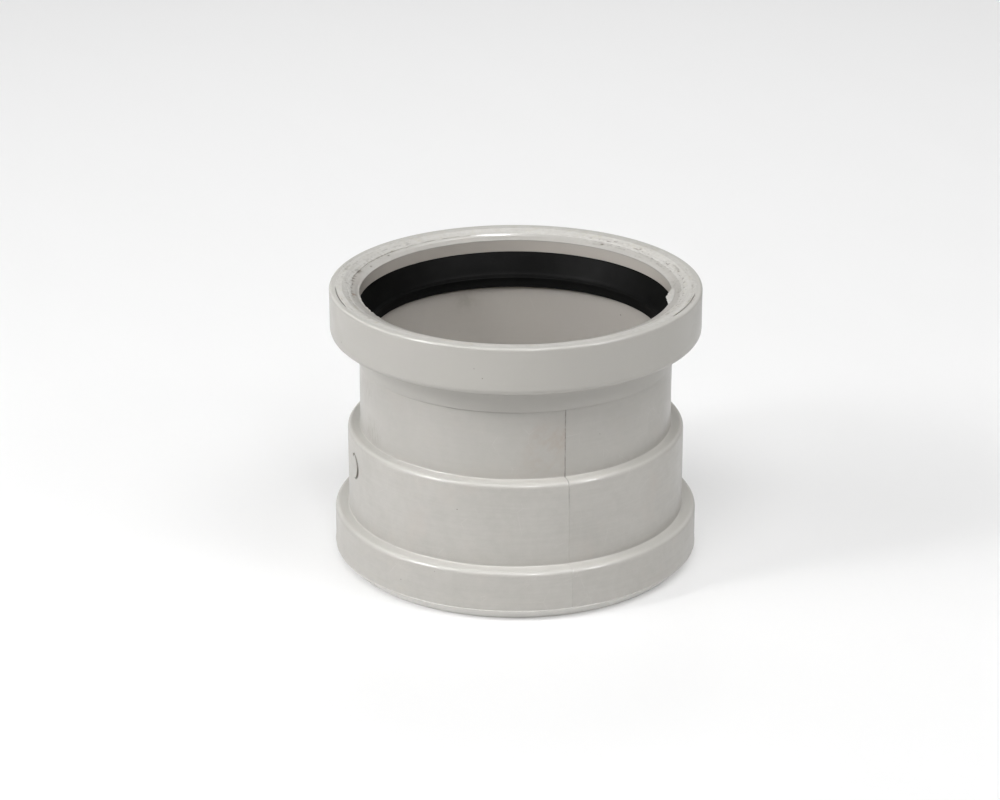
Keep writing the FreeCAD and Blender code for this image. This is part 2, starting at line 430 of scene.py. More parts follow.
class Shader:
    """One material's node tree. Each call adds a node and hands back its output socket."""

    def __init__(self, name, roughness, specular, coat=0.0, coat_roughness=0.3):
        self.material = bpy.data.materials.new(name)
        self.material.use_nodes = True
        self.tree = self.material.node_tree
        self.surface = self.tree.nodes["Principled BSDF"]
        self.surface.inputs["Roughness"].default_value = roughness
        self.surface.inputs["Specular IOR Level"].default_value = specular
        self.surface.inputs["Coat Weight"].default_value = coat
        self.surface.inputs["Coat Roughness"].default_value = coat_roughness
        self.place = self.node("ShaderNodeTexCoord").outputs["Object"]
        split = self.node("ShaderNodeSeparateXYZ", Vector=self.place)
        self.x, self.y, self.z = split.outputs
        self.radius = self.length(self.x, self.y)

    def node(self, kind, **inputs):
        made = self.tree.nodes.new(kind)
        for name, value in inputs.items():
            self.put(made.inputs[name.replace("_", " ")], value)
        return made

    def put(self, socket, value):
        if isinstance(value, bpy.types.NodeSocket):
            self.tree.links.new(value, socket)
        else:
            socket.default_value = value

    def math(self, operation, *values):
        made = self.tree.nodes.new("ShaderNodeMath")
        made.operation = operation
        for socket, value in zip(made.inputs, values):
            self.put(socket, value)
        return made.outputs[0]

    def times(self, first, *others):
        for other in others:
            first = self.math("MULTIPLY", first, other)
        return first

    def plus(self, first, *others):
        for other in others:
            first = self.math("ADD", first, other)
        return first

    def power(self, value, exponent):
        return self.math("POWER", self.math("ABSOLUTE", value), exponent)

    def length(self, first, second):
        """How far away a place is, from its distances along two square directions."""
        return self.power(self.plus(self.power(first, 2.0), self.power(second, 2.0)), 0.5)

    def fade(self, value, low, high):
        """0 at low and 1 at high, smoothly; low may be the larger."""
        made = self.node("ShaderNodeMapRange", Value=value, From_Min=low, From_Max=high)
        made.interpolation_type = "SMOOTHSTEP"
        return made.outputs[0]

    def near(self, value, middle, width):
        """1 at the middle and 0 one width away on either side."""
        gap = self.math("ABSOLUTE", self.math("SUBTRACT", value, middle))
        return self.fade(gap, width, 0.0)

    def between(self, value, low, high, soft):
        """1 from low to high and 0 beyond, with soft ends."""
        rise = self.fade(value, low - soft, low + soft)
        return self.times(rise, self.fade(value, high + soft, high - soft))

    def noise(self, size, detail=3.0, rough=0.55, vector=None):
        """Noise whose blotches are about that many millimetres across."""
        made = self.node("ShaderNodeTexNoise", Vector=vector or self.place,
                         Scale=1 / (size * MM), Detail=detail, Roughness=rough)
        return made.outputs[0]

    def stretched(self, around, across, upward):
        """A vector whose noise is drawn out round the ring: sizes in millimetres each way."""
        shares = [self.times(self.math("DIVIDE", axis, self.radius), 0.09 / (around * MM))
                  for axis in (self.x, self.y)]
        turn = self.node("ShaderNodeCombineXYZ", X=shares[0], Y=shares[1],
                         Z=self.times(self.z, 1 / (upward * MM)))
        lift = self.node("ShaderNodeCombineXYZ", X=self.times(self.radius, 1 / (across * MM)),
                         Y=3.7, Z=0.0)
        total = self.tree.nodes.new("ShaderNodeVectorMath")
        self.put(total.inputs[0], turn.outputs[0])
        self.put(total.inputs[1], lift.outputs[0])
        return total.outputs[0]

    def streaks(self, around, across, upward, detail=2.0):
        """Noise drawn out round the ring, sized as in stretched."""
        made = self.node("ShaderNodeTexNoise", Vector=self.stretched(around, across, upward),
                         Scale=1.0, Detail=detail, Roughness=0.6)
        return made.outputs[0]

    def specks(self, spacing, size, share):
        """Scattered dots: about one a spacing, of a size in millimetres, keeping that share."""
        cells = self.node("ShaderNodeTexVoronoi", Vector=self.place, Scale=1 / (spacing * MM))
        dot = self.fade(cells.outputs["Distance"], size / spacing, 0.4 * size / spacing)
        pick = self.node("ShaderNodeSeparateColor", Color=cells.outputs["Color"])
        return self.times(dot, self.math("GREATER_THAN", pick.outputs[0], 1 - share))

    def scratches(self, length, gap, width):
        """Thin broken lines, mostly round the ring."""
        cells = self.node("ShaderNodeTexVoronoi", Vector=self.stretched(length, gap, gap),
                          Scale=1.0)
        cells.feature = "DISTANCE_TO_EDGE"
        line = self.fade(cells.outputs["Distance"], width / gap, 0.2 * width / gap)
        return self.times(line, self.fade(self.noise(17), 0.52, 0.66))

    def sideways(self, bearing):
        """Distance along the wall from a bearing, in metres, and 1 on that side of the ring."""
        turn = math.radians(bearing)
        shift = self.plus(self.times(self.x, math.cos(turn)), self.times(self.y, math.sin(turn)))
        front = self.math("SUBTRACT", self.times(self.x, math.sin(turn)),
                          self.times(self.y, math.cos(turn)))
        return shift, self.math("GREATER_THAN", front, 0.0)

    def outside(self):
        """1 on the outer walls, 0 in the bores."""
        return self.math("GREATER_THAN", self.radius, (NECK_RADIUS - 0.9) * MM)

    def facing_up(self):
        """1 on a level surface that faces up, 0 on an upright wall."""
        normal = self.tree.nodes.new("ShaderNodeNewGeometry").outputs["Normal"]
        upward = self.node("ShaderNodeSeparateXYZ", Vector=normal).outputs[2]
        return self.fade(upward, 0.35, 0.85)

    def mark(self, name):
        made = self.tree.nodes.new("ShaderNodeAttribute")
        made.attribute_name = name
        return made.outputs["Fac"]

    def mix(self, amount, under, over):
        made = self.tree.nodes.new("ShaderNodeMix")
        made.data_type = "RGBA"
        self.put(made.inputs[0], amount)
        self.put(made.inputs[6], (*under, 1.0) if isinstance(under, tuple) else under)
        self.put(made.inputs[7], (*over, 1.0) if isinstance(over, tuple) else over)
        return made.outputs[2]

    def raise_by(self, *layers):
        """Bump layers of (height socket, depth in millimetres), one over the other."""
        normal = None
        for height, depth in layers:
            made = self.node("ShaderNodeBump", Height=height, Distance=depth * MM, Strength=1.0)
            if normal:
                self.put(made.inputs["Normal"], normal)
            normal = made.outputs[0]
        self.put(self.surface.inputs["Normal"], normal)

    def finish(self, colour, roughness):
        self.put(self.surface.inputs["Base Color"], colour)
        self.put(self.surface.inputs["Roughness"], roughness)
        return self.material


PVC_PALE = (0.505, 0.489, 0.459)
PVC_DEEP = (0.432, 0.418, 0.389)
PVC_WARM = (0.496, 0.462, 0.424)
# Painted light: the paler grey laid on up-facing surfaces, so tops read brighter than the walls.
PVC_LIT_TOP = (0.582, 0.571, 0.538)
# Painted light: the paler, warmer grey of the mouth's lit throat.
PVC_THROAT_LIT = (0.575, 0.537, 0.492)
SCUFF = (0.66, 0.645, 0.615)
GRIME = (0.105, 0.092, 0.072)
RIM_GRIME = (0.135, 0.115, 0.088)
SOFT_GRIME = (0.285, 0.262, 0.222)
RUST = (0.20, 0.11, 0.06)
PINK_STAIN = (0.41, 0.325, 0.265)
YELLOWED = (0.50, 0.475, 0.375)
CEMENT = (0.590, 0.579, 0.550)
RUBBER_DARK = (0.0028, 0.0029, 0.0028)
RUBBER_GREY = (0.0052, 0.0054, 0.0052)
DUST = (0.06, 0.06, 0.057)
FLOOR_GLOW = 0.2


def pvc_base(shader):
    """The grey itself: slow blotches, smaller ones, a fine grain, and a few warm patches."""
    slow = shader.fade(shader.noise(36, 3), 0.3, 0.7)
    fine = shader.fade(shader.noise(4.5, 3, 0.6), 0.3, 0.7)
    grain = shader.fade(shader.noise(0.8, 3, 0.7), 0.25, 0.75)
    drawn = shader.fade(shader.streaks(26, 1.4, 1.2, 3), 0.3, 0.7)
    tone = shader.plus(shader.times(slow, 0.38), shader.times(fine, 0.22),
                       shader.times(grain, 0.2), shader.times(drawn, 0.2))
    colour = shader.mix(tone, PVC_DEEP, PVC_PALE)
    warm = shader.fade(shader.noise(22, 3, 0.5), 0.52, 0.78)
    return shader.mix(shader.times(warm, 0.5), colour, PVC_WARM)


def add_wear(shader, colour, share=0.25):
    """A few specks, soft rub marks and faint pale scuffs over a colour."""
    rubbed = shader.fade(shader.noise(48, 4, 0.6), 0.55, 0.8)
    colour = shader.mix(shader.times(rubbed, 0.09), colour, SOFT_GRIME)
    colour = shader.mix(shader.times(shader.scratches(14, 16, 0.2), 0.22), colour, SCUFF)
    colour = shader.mix(shader.times(shader.specks(21, 0.6, share), 0.6), colour, GRIME)
    return shader.mix(shader.times(shader.specks(6, 0.35, share), 0.3), colour, SOFT_GRIME)


def pvc_gloss(shader, middle, swing):
    """Roughness that varies where hands and sacks have rubbed the plastic."""
    rubbed = shader.fade(shader.noise(20, 4), 0.35, 0.65)
    lines = shader.scratches(14, 5, 0.2)
    uneven = shader.plus(shader.times(rubbed, swing), shader.times(lines, 0.12))
    return shader.plus(uneven, middle - swing / 2)


def pvc_surface(shader):
    """Orange peel and a fine grain."""
    shader.raise_by((shader.noise(8, 2, 0.4), 0.022), (shader.noise(1.0, 2), 0.001))


def parting_dirt(shader):
    """The dark line that the parting ridge holds, strongest on the neck and fading below."""
    total = 0.0
    outside = shader.outside()
    for bearing in PARTINGS:
        shift, side = shader.sideways(bearing)
        line = shader.near(shift, 0.0, 0.55 * MM)
        broken = shader.fade(shader.streaks(2.0, 2.0, 5.0, 3), 0.2, 0.62)
        neck = shader.fade(shader.z, (BARREL_TOP - 0.5) * MM, (BARREL_TOP + 1) * MM)
        barrel = shader.times(shader.fade(shader.z, 52 * MM, 72 * MM), 0.42)
        strength = shader.plus(shader.times(neck, 0.22), barrel, 0.05)
        total = shader.plus(shader.times(line, side, outside, strength, broken), total)
    return total


def parting_stain(shader):
    """The beige rub mark beside the front parting line on the neck, dragged down to the left."""
    shift, side = shader.sideways(PARTING)
    wide = shader.times(shader.fade(shift, -30 * MM, -6 * MM),
                        shader.fade(shift, 0.6 * MM, -0.8 * MM))
    height = shader.between(shader.z, 79 * MM, 105 * MM, 6 * MM)
    along, across = shader.plus(shift, shader.z), shader.math("SUBTRACT", shift, shader.z)
    drag = shader.node("ShaderNodeCombineXYZ", X=shader.times(along, 1 / (17 * MM)),
                       Y=shader.times(across, 1 / (8 * MM)), Z=2.9)
    made = shader.node("ShaderNodeTexNoise", Vector=drag.outputs[0], Scale=1.0, Detail=4.0)
    patch = shader.times(shader.fade(made.outputs[0], 0.34, 0.66),
                         shader.fade(shader.noise(3, 3, 0.6), 0.2, 0.6))
    return shader.times(wide, height, patch, side, shader.outside())


# upright strokes on the neck: bearing, lowest height, highest height and strength
RUB_MARKS = ((-65, 78, 87, 0.9), (-71, 97, 108, 0.5))


def rub_marks(shader, bearing, low, high):
    """Short upright brown strokes where something has been dragged down the neck."""
    shift, side = shader.sideways(bearing)
    strokes = shader.node("ShaderNodeCombineXYZ", X=shader.times(shift, 1 / (0.75 * MM)),
                          Y=shader.times(shader.z, 1 / (7 * MM)), Z=bearing)
    made = shader.node("ShaderNodeTexNoise", Vector=strokes.outputs[0], Scale=1.0, Detail=2.0)
    outside = shader.between(shader.radius, (NECK_RADIUS - 0.7) * MM, (NECK_RADIUS + 1.2) * MM,
                             0.2 * MM)
    place = shader.times(shader.near(shift, 0.0, 13 * MM), outside, side)
    height = shader.between(shader.z, low * MM, high * MM, 5 * MM)
    return shader.times(shader.fade(made.outputs[0], 0.42, 0.72), place, height)


# single specks: bearing, height and size
BODY_SPOTS = ((-19.7, 59.0, 0.34), (-38.0, 15.0, 0.28), (31.0, 96.0, 0.22))
COLLAR_SPOTS = ((-66.8, 134.5, 0.4), (-12.5, 142.0, 0.28), (-10.0, 137.0, 0.34))


def dirt_spots(shader, spots):
    """Single specks of dirt, each at a bearing and a height, with its size."""
    total = 0.0
    for bearing, height, size in spots:
        shift, side = shader.sideways(bearing)
        rise = shader.math("SUBTRACT", shader.z, height * MM)
        spot = shader.fade(shader.length(shift, rise), 1.5 * size * MM, 0.4 * size * MM)
        total = shader.plus(shader.times(spot, side), total)
    return total


def bore_painted_shade(shader):
    """A darker grey patch inside the neck, under the seal at the back: painted shade."""
    shift, side = shader.sideways(BORE_SHADE_BEARING)
    place = shader.times(shader.near(shift, 0.0, 11 * MM), side)
    height = shader.between(shader.z, 112 * MM, 121 * MM, 5 * MM)
    inside = shader.math("LESS_THAN", shader.radius, (NECK_BORE + 1) * MM)
    patch = shader.fade(shader.noise(5, 4, 0.6), 0.3, 0.6)
    return shader.times(place, height, inside, patch)


def lap_dirt_and_shadow(shader):
    """The thin dark line on the neck, just under the collar's lap: dirt at the joint and a painted
    shadow under the lip, drawn only towards the front-left.
    """
    line = shader.near(shader.z, (SKIRT_FOOT - 0.1) * MM, 0.75 * MM)
    outside = shader.outside()
    shift, side = shader.sideways(LAP_BEARING)
    place = shader.times(shader.near(shift, 0.0, 62 * MM), side, outside)
    return shader.times(line, place, shader.fade(shader.noise(12, 3), 0.25, 0.6))


def gate_grime_and_shadow(shader):
    """Grime round the gate mark and a painted shadow of the raised disc on its side nearer the
    front, with a dark spot at its top edge.
    """
    shift, side = shader.sideways(GATE_BEARING)
    rise = shader.math("SUBTRACT", shader.z, GATE_HEIGHT * MM)
    spread = shader.length(shift, rise)
    width = shader.plus(0.3 * MM, shader.times(shader.fade(rise, 3 * MM, -5 * MM), 0.6 * MM))
    gap = shader.math("ABSOLUTE", shader.math("SUBTRACT", spread, (GATE_RADIUS + 0.15) * MM))
    edge = shader.fade(shader.math("DIVIDE", gap, width), 1.0, 0.2)
    shadow_side = shader.fade(shift, -1.0 * MM, 2.5 * MM)
    spot_shift = shader.math("SUBTRACT", shift, 0.6 * MM)
    spot_rise = shader.math("SUBTRACT", rise, (GATE_RADIUS - 0.4) * MM)
    spot = shader.fade(shader.length(spot_shift, spot_rise), 1.5 * MM, 0.6 * MM)
    shadow_edge_and_spot = shader.math("MAXIMUM", shader.times(edge, shadow_side), spot)
    return shader.times(shadow_edge_and_spot, side)


GLOSS = dict(roughness=0.42, specular=0.25, coat=0.26, coat_roughness=0.17)


def grey_pvc():
    """The smaller mouldings: pale grey, satin, with the wear of a fitting that has been about, and
    painted light: paler up-facing tops and a paler foot bevel.
    """
    shader = Shader("grey_pvc", **GLOSS)
    colour = add_wear(shader, pvc_base(shader))
    above = shader.times(shader.math("GREATER_THAN", shader.z, STOP_TOP * MM), 0.85)
    colour = shader.mix(above, colour, PVC_DEEP)
    # Painted light: up-facing surfaces are mixed towards a paler grey, so tops read brighter than
    # the walls.
    colour = shader.mix(shader.times(shader.facing_up(), 0.7), colour, PVC_LIT_TOP)
    colour = shader.mix(shader.times(dirt_spots(shader, COLLAR_SPOTS), 0.55), colour, GRIME)
    # Painted light: the down-facing foot bevel is mixed towards the pale scuff grey, standing in for
    # light bounced up from the floor.
    foot_bounce_light = shader.fade(shader.z, (HOUSING_FOOT - 0.2) * MM, (HOUSING_FOOT - 1.2) * MM)
    colour = shader.mix(shader.times(foot_bounce_light, 0.9), colour, SCUFF)
    colour = shader.mix(shader.times(shader.mark("dirt"), 0.9), colour, RIM_GRIME)
    pvc_surface(shader)
    return shader.finish(colour, pvc_gloss(shader, 0.43, 0.12))


def body_pvc():
    """The body's grey: the same plastic, with its parting lines, stains and gate mark, and painted
    light: paler tops, a darker neck under the collar, and painted shade at the lap, the gate and in
    the bore.
    """
    shader = Shader("body_pvc", **GLOSS)
    # Painted light: up-facing surfaces are mixed towards a paler grey, so tops read brighter than
    # the walls.
    colour = shader.mix(shader.times(shader.facing_up(), 0.8), pvc_base(shader), PVC_LIT_TOP)
    inside = shader.math("LESS_THAN", shader.radius, (NECK_BORE + 1) * MM)
    # Painted shade: the neck, under the collar's overhang, is mixed towards the deeper grey.
    neck = shader.fade(shader.z, BARREL_TOP * MM, (BARREL_TOP + 3) * MM)
    colour = shader.mix(shader.times(neck, 0.4), colour, PVC_DEEP)
    colour = add_wear(shader, shader.mix(shader.times(inside, 0.6), colour, PVC_WARM))
    colour = shader.mix(shader.times(parting_stain(shader), 0.44), colour, PINK_STAIN)
    for bearing, low, high, share in RUB_MARKS:
        marks = rub_marks(shader, bearing, low, high)
        colour = shader.mix(shader.times(marks, share), colour, SOFT_GRIME)
    colour = shader.mix(parting_dirt(shader), colour, GRIME)
    # Dirt at the lap joint and a painted shadow under the collar's lip.
    colour = shader.mix(shader.times(lap_dirt_and_shadow(shader), 0.6), colour, GRIME)
    # Painted shade: a darker patch inside the neck at the back.
    colour = shader.mix(shader.times(bore_painted_shade(shader), 0.4), colour, SOFT_GRIME)
    colour = shader.mix(shader.times(dirt_spots(shader, BODY_SPOTS), 0.7), colour, GRIME)
    # Grime round the gate mark, with a painted shadow on its side nearer the front.
    colour = shader.mix(shader.times(gate_grime_and_shadow(shader), 0.85), colour, GRIME)
    pvc_surface(shader)
    return shader.finish(colour, pvc_gloss(shader, 0.43, 0.12))


def cut_pvc():
    """The rough retaining ring: cement smears over cut plastic, and grime in the hollows."""
    shader = Shader("cut_pvc", 0.5, 0.45)
    tone = shader.plus(shader.times(shader.fade(shader.streaks(24, 1.2, 3), 0.3, 0.7), 0.5),
                       shader.times(shader.fade(shader.noise(3.5, 4, 0.6), 0.3, 0.7), 0.5))
    colour = shader.mix(tone, PVC_PALE, CEMENT)
    yellow = shader.fade(shader.noise(5, 4, 0.65), 0.52, 0.72)
    colour = shader.mix(shader.times(yellow, 0.5), colour, YELLOWED)
    stain = shader.fade(shader.noise(3, 5, 0.65), 0.56, 0.74)
    colour = shader.mix(shader.times(stain, 0.22), colour, SOFT_GRIME)
    colour = shader.mix(shader.times(shader.mark("dirt"), 0.85), colour, RIM_GRIME)
    colour = shader.mix(shader.times(rust_spot(shader), 0.85), colour, RUST)
    colour = shader.mix(shader.times(shader.specks(6, 0.45, 0.2), 0.6), colour, GRIME)
    shader.raise_by((shader.streaks(14, 0.6, 2), 0.04), (shader.noise(0.9, 3), 0.03))
    return shader.finish(colour, pvc_gloss(shader, 0.44, 0.2))


def rust_spot(shader):
    """The brown dirt at the left of the inner seam."""
    shift, side = shader.sideways(RUST_BEARING)
    across = shader.near(shader.radius, (INNER_SEAM - 2.0) * MM, 1.9 * MM)
    patch = shader.fade(shader.noise(1.5, 3), 0.28, 0.46)
    return shader.times(shader.near(shift, 0.0, 2.6 * MM), side, across, patch)


def smooth_pvc():
    """The mouth ring: smoother and glossier than the rest, dirty at its seam, with its throat
    painted paler and warmer as painted light.
    """
    shader = Shader("smooth_pvc", 0.34, 0.4, coat=0.3, coat_roughness=0.08)
    # Painted light: the throat below the mouth's edge is mixed towards a paler, warmer grey,
    # standing in for light bounced into the mouth.
    throat_light = shader.fade(shader.z, MOUTH_EDGE * MM, (MOUTH_EDGE - 1.2) * MM)
    colour = shader.mix(throat_light, pvc_base(shader), PVC_THROAT_LIT)
    colour = shader.mix(shader.times(shader.mark("dirt"), 0.85), colour, RIM_GRIME)
    colour = shader.mix(shader.times(rust_spot(shader), 0.85), colour, RUST)
    colour = shader.mix(shader.times(shader.specks(8, 0.4, 0.15), 0.5), colour, SOFT_GRIME)
    shader.raise_by((shader.noise(8, 2, 0.4), 0.006), (shader.noise(1.2, 2), 0.001))
    return shader.finish(colour, pvc_gloss(shader, 0.36, 0.1))


def cement_film():
    """Dried solvent cement: whitish, uneven, glossy where it is thick and dusty where thin."""
    shader = Shader("cement_film", 0.35, 0.5, coat=0.2, coat_roughness=0.2)
    colour = shader.mix(shader.fade(shader.noise(3, 4, 0.6), 0.3, 0.7), PVC_PALE, CEMENT)
    colour = shader.mix(shader.times(shader.mark("dirt"), 0.7), colour, GRIME)
    shader.raise_by((shader.noise(0.9, 4, 0.6), 0.06))
    return shader.finish(colour, shader.plus(0.25, shader.times(shader.noise(4, 3), 0.35)))


def seal_rubber():
    """Black moulded rubber: satin, with faint mould rings and a little dust."""
    shader = Shader("seal_rubber", 0.5, 0.04)
    tone = shader.fade(shader.noise(16, 4, 0.6), 0.3, 0.75)
    colour = shader.mix(tone, RUBBER_DARK, RUBBER_GREY)
    dust = shader.times(shader.fade(shader.noise(24, 5, 0.65), 0.55, 0.8),
                        shader.fade(shader.noise(1.4, 3, 0.7), 0.45, 0.7))
    colour = shader.mix(shader.times(dust, 0.1), colour, DUST)
    colour = shader.mix(shader.times(shader.specks(5, 0.4, 0.08), 0.4), colour, DUST)
    shader.raise_by((shader.streaks(60, 0.6, 0.6, 1), 0.02), (shader.noise(1.1, 3, 0.6), 0.015))
    gloss = shader.plus(0.44, shader.times(shader.noise(9, 3), 0.2))
    return shader.finish(colour, gloss)


def floor_finish():
    """A matt white sweep with a faint glow of its own, which keeps the contact shadow light."""
    shader = Shader("studio_floor", 0.9, 0.0)
    shader.surface.inputs["Emission Color"].default_value = (1.0, 1.0, 1.0, 1.0)
    shader.surface.inputs["Emission Strength"].default_value = FLOOR_GLOW
    colour = shader.mix(shader.noise(400, 2), (0.715, 0.715, 0.715), (0.725, 0.725, 0.725))
    return shader.finish(colour, 0.9)


GREY = grey_pvc()
BODY_GREY = body_pvc()
CUT = cut_pvc()
SMOOTH = smooth_pvc()
FILM = cement_film()
RUBBER = seal_rubber()

# ---------------------------------------------------------------- the pieces


def make_body():
    """Neck, barrel and lower housing, with the shoulder and the pipe stop inside."""
    corners = (
        (NECK_RADIUS, NECK_TOP), (NECK_RADIUS, BARREL_TOP, 0.8),
        (BARREL_RADIUS, BARREL_TOP, SHOULDER_ROUND), (BARREL_RADIUS, HOUSING_TOP, 0.8),
        (HOUSING_RADIUS, HOUSING_TOP, SHOULDER_ROUND), (HOUSING_RADIUS, HOUSING_FOOT),
        (HOUSING_BORE, HOUSING_FOOT), (HOUSING_BORE, HOUSING_ROOF),
        (BARREL_BORE, HOUSING_ROOF, 0.5), (BARREL_BORE, STOP_FOOT, 1.0),
        (STOP_BORE, STOP_FOOT, 0.6), (STOP_BORE, STOP_TOP, 0.6),
        (NECK_BORE, STOP_TOP, 0.6), (NECK_BORE, NECK_TOP - NECK_LEAD_IN),
        (NECK_BORE + NECK_LEAD_IN, NECK_TOP),
    )
    turns = bearings(BODY_TURNS, PARTINGS)
    piece = turned("body_moulding", corners, turns, BODY_GREY, body_relief)
    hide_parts("coupling_body")


def make_collar():
    """The upper seal housing: wall, ledge and the skirt that laps over the neck."""
    corners = (
        (SKIRT_BORE, SKIRT_FOOT, 0.15), (NECK_RADIUS + SKIRT_LIP + FIT, SKIRT_FOOT, 0.25),
        (SKIRT_TOP_RADIUS, LEDGE_HEIGHT, 0.8), (COLLAR_RADIUS, LEDGE_HEIGHT, LEDGE_ROUND),
        (COLLAR_RADIUS, COLLAR_TOP, RIM_ROUND, FINE), (OUTER_SEAM + FIT, COLLAR_TOP, 0.2),
        (OUTER_SEAM + FIT, GROOVE_FLOOR), (GROOVE_BORE, GROOVE_FLOOR),
        (THROAT_RADIUS, THROAT_HEIGHT), (THROAT_RADIUS, NECK_TOP), (SKIRT_BORE, NECK_TOP),
    )
    turns = bearings(COLLAR_TURNS)
    piece = turned("collar_moulding", corners, turns, GREY, collar_relief, rim_dirt)
    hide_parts("upper_collar")


def make_retaining_ring():
    """The outer of the two rings in the collar's mouth."""
    corners = (
        (OUTER_SEAM, RING_FOOT), (OUTER_SEAM, COLLAR_TOP, 0.25, FINE),
        (RIM_FLAT, COLLAR_TOP, 0.8, FINE), (INNER_SEAM + FIT, MOUTH_CREST, 0.3),
        (INNER_SEAM + FIT, RING_FOOT),
    )
    turns = bearings(RIM_TURNS)
    piece = turned("retaining_ring", corners, turns, CUT, retaining_relief, rim_dirt)
    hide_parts("upper_retaining_ring")


def make_mouth_ring():
    """The inner, smoother ring, crowned and bevelled to guide the pipe."""
    corners = (
        (INNER_SEAM, RING_FOOT), (INNER_SEAM, MOUTH_CREST, 0.35, FINE),
        (*MOUTH_CROWN, 4.0, FINE), (MOUTH_RADIUS, MOUTH_EDGE, 0.35, 1.2), (84.5, RING_FOOT),
    )
    turns = bearings(RIM_TURNS)
    piece = turned("mouth_ring", corners, turns, SMOOTH, mouth_relief, rim_dirt)
    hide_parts("upper_mouth_ring")


def make_upper_seal():
    """The rubber seal in the collar: a heel in its groove and a lip that hangs into the bore."""
    corners = (
        (84.8, RING_FOOT, 0.4, 0.8), (OUTER_SEAM, RING_FOOT), (OUTER_SEAM, GROOVE_FLOOR),
        (91.0, GROOVE_FLOOR), (88.0, 137.0), (82.6, 130.0), (79.85, SEAL_FOOT),
        (UPPER_LIP_BORE, SEAL_FOOT, 0.5), (UPPER_LIP_BORE + 0.25, 129.2, 0.5, 0.4),
        (79.9, 130.0, 0.5, 0.4), (80.77, 132.0, 0.3, 0.8),
    )
    relief = seal_relief(UPPER_BEAD, -1)
    piece = turned("upper_lip_seal", corners, bearings(SEAL_TURNS), RUBBER, relief)
    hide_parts("upper_seal")


def make_lower_seal():
    """The larger seal in the lower housing, whose lip points up the barrel."""
    outer = HOUSING_BORE - FIT
    tip = 23.6
    corners = (
        (91.6, END_RING_TOP), (outer, END_RING_TOP), (outer, HOUSING_ROOF), (92.8, HOUSING_ROOF),
        (92.4, 14.8), (90.4, 18.4), (87.5, tip), (LOWER_LIP_BORE, tip, 0.5),
        (LOWER_LIP_BORE, 21.4, 0.6, 0.4), (87.8, 18.4, 0.6, 0.4), (88.8, 16.5, 0.3, 0.8),
    )
    relief = seal_relief(LOWER_BEAD, 1)
    piece = turned("lower_lip_seal", corners, bearings(SEAL_TURNS), RUBBER, relief)
    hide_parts("lower_seal")


def make_end_ring():
    """The ring that closes the lower housing, with its bevelled foot."""
    outer = HOUSING_BORE - FIT
    lead_in = 0.6
    corners = (
        (outer, END_RING_TOP), (outer, HOUSING_FOOT, 0.15), (HOUSING_RADIUS, HOUSING_FOOT, 0.2),
        (END_RING_FOOT, 0.0, 0.4), (END_RING_BORE + lead_in, 0.0, 0.3),
        (END_RING_BORE, lead_in, 0.3), (END_RING_BORE, END_RING_TOP),
    )

    def relief(radius, height, bearing, out):
        return waviness(95, bearing, height, 0.04) * (height > 1.0)

    piece = turned("end_ring", corners, bearings(END_RING_TURNS), GREY, relief)
    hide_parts("lower_end_ring")


FILM_HALF = np.linspace(-1, 1, 9)
FILM_ROOT = 0.7


def make_film(name, seam, width, proud, gaps, seed):
    """A strip of cement over a seam: uneven in width and height, and missing in the gaps."""
    turns = bearings(CEMENT_TURNS)
    bearing, across = np.meshgrid(turns, FILM_HALF, indexing="ij")
    ragged = 1 + 0.45 * ring_noise(seed, 240, 0.7, bearing, across + 1)
    wander = 0.3 * ring_noise(seed + 1, 30, 9.0, bearing, 0 * across)
    radius = seam + wander + across * width * ragged / 2
    missing = np.zeros_like(radius)
    for start, end in gaps:
        missing = np.maximum(missing, window(bearing, start, end, 1.5))
    uneven = 0.65 + 0.5 * ring_noise(seed + 2, 320, 0.8, bearing, radius)
    rise = proud * (1 - across ** 2) * uneven * rim_rough(bearing) - 0.03 - 0.6 * missing
    surface = np.interp(radius, RIM_RADII, RIM_HEIGHTS)
    upper = ring_points(radius, surface + rise, bearing)
    lower = ring_points(radius, surface - FILM_ROOT, bearing)[:, ::-1]
    points = np.concatenate((upper, lower), 1)[:, ::-1]
    piece = make_piece(name, points, closed_grid(*points.shape[:2]), FILM)
    hollow = np.clip(0.45 - uneven, 0, 1) + 0.9 * missing
    set_mark(piece, "dirt", np.concatenate((hollow, hollow[:, ::-1]), 1)[:, ::-1])


def make_foot_bead():
    """The thin bead of cement squeezed out between the lower housing and its end ring."""
    turns = bearings(CEMENT_TURNS)
    share = np.arange(10) / 10
    bearing, turn = np.meshgrid(turns, share * math.tau, indexing="ij")
    size = 0.34 * (1 + 0.3 * ring_noise(7, 200, 1.0, bearing, 0 * turn))
    radius = HOUSING_RADIUS - 0.05 + size * np.cos(turn)
    height = HOUSING_FOOT + size * np.sin(turn)
    points = ring_points(radius, height, bearing)
    piece = make_piece("foot_cement_bead", points, closed_grid(*turn.shape), FILM)
    set_mark(piece, "dirt", 0 * size)


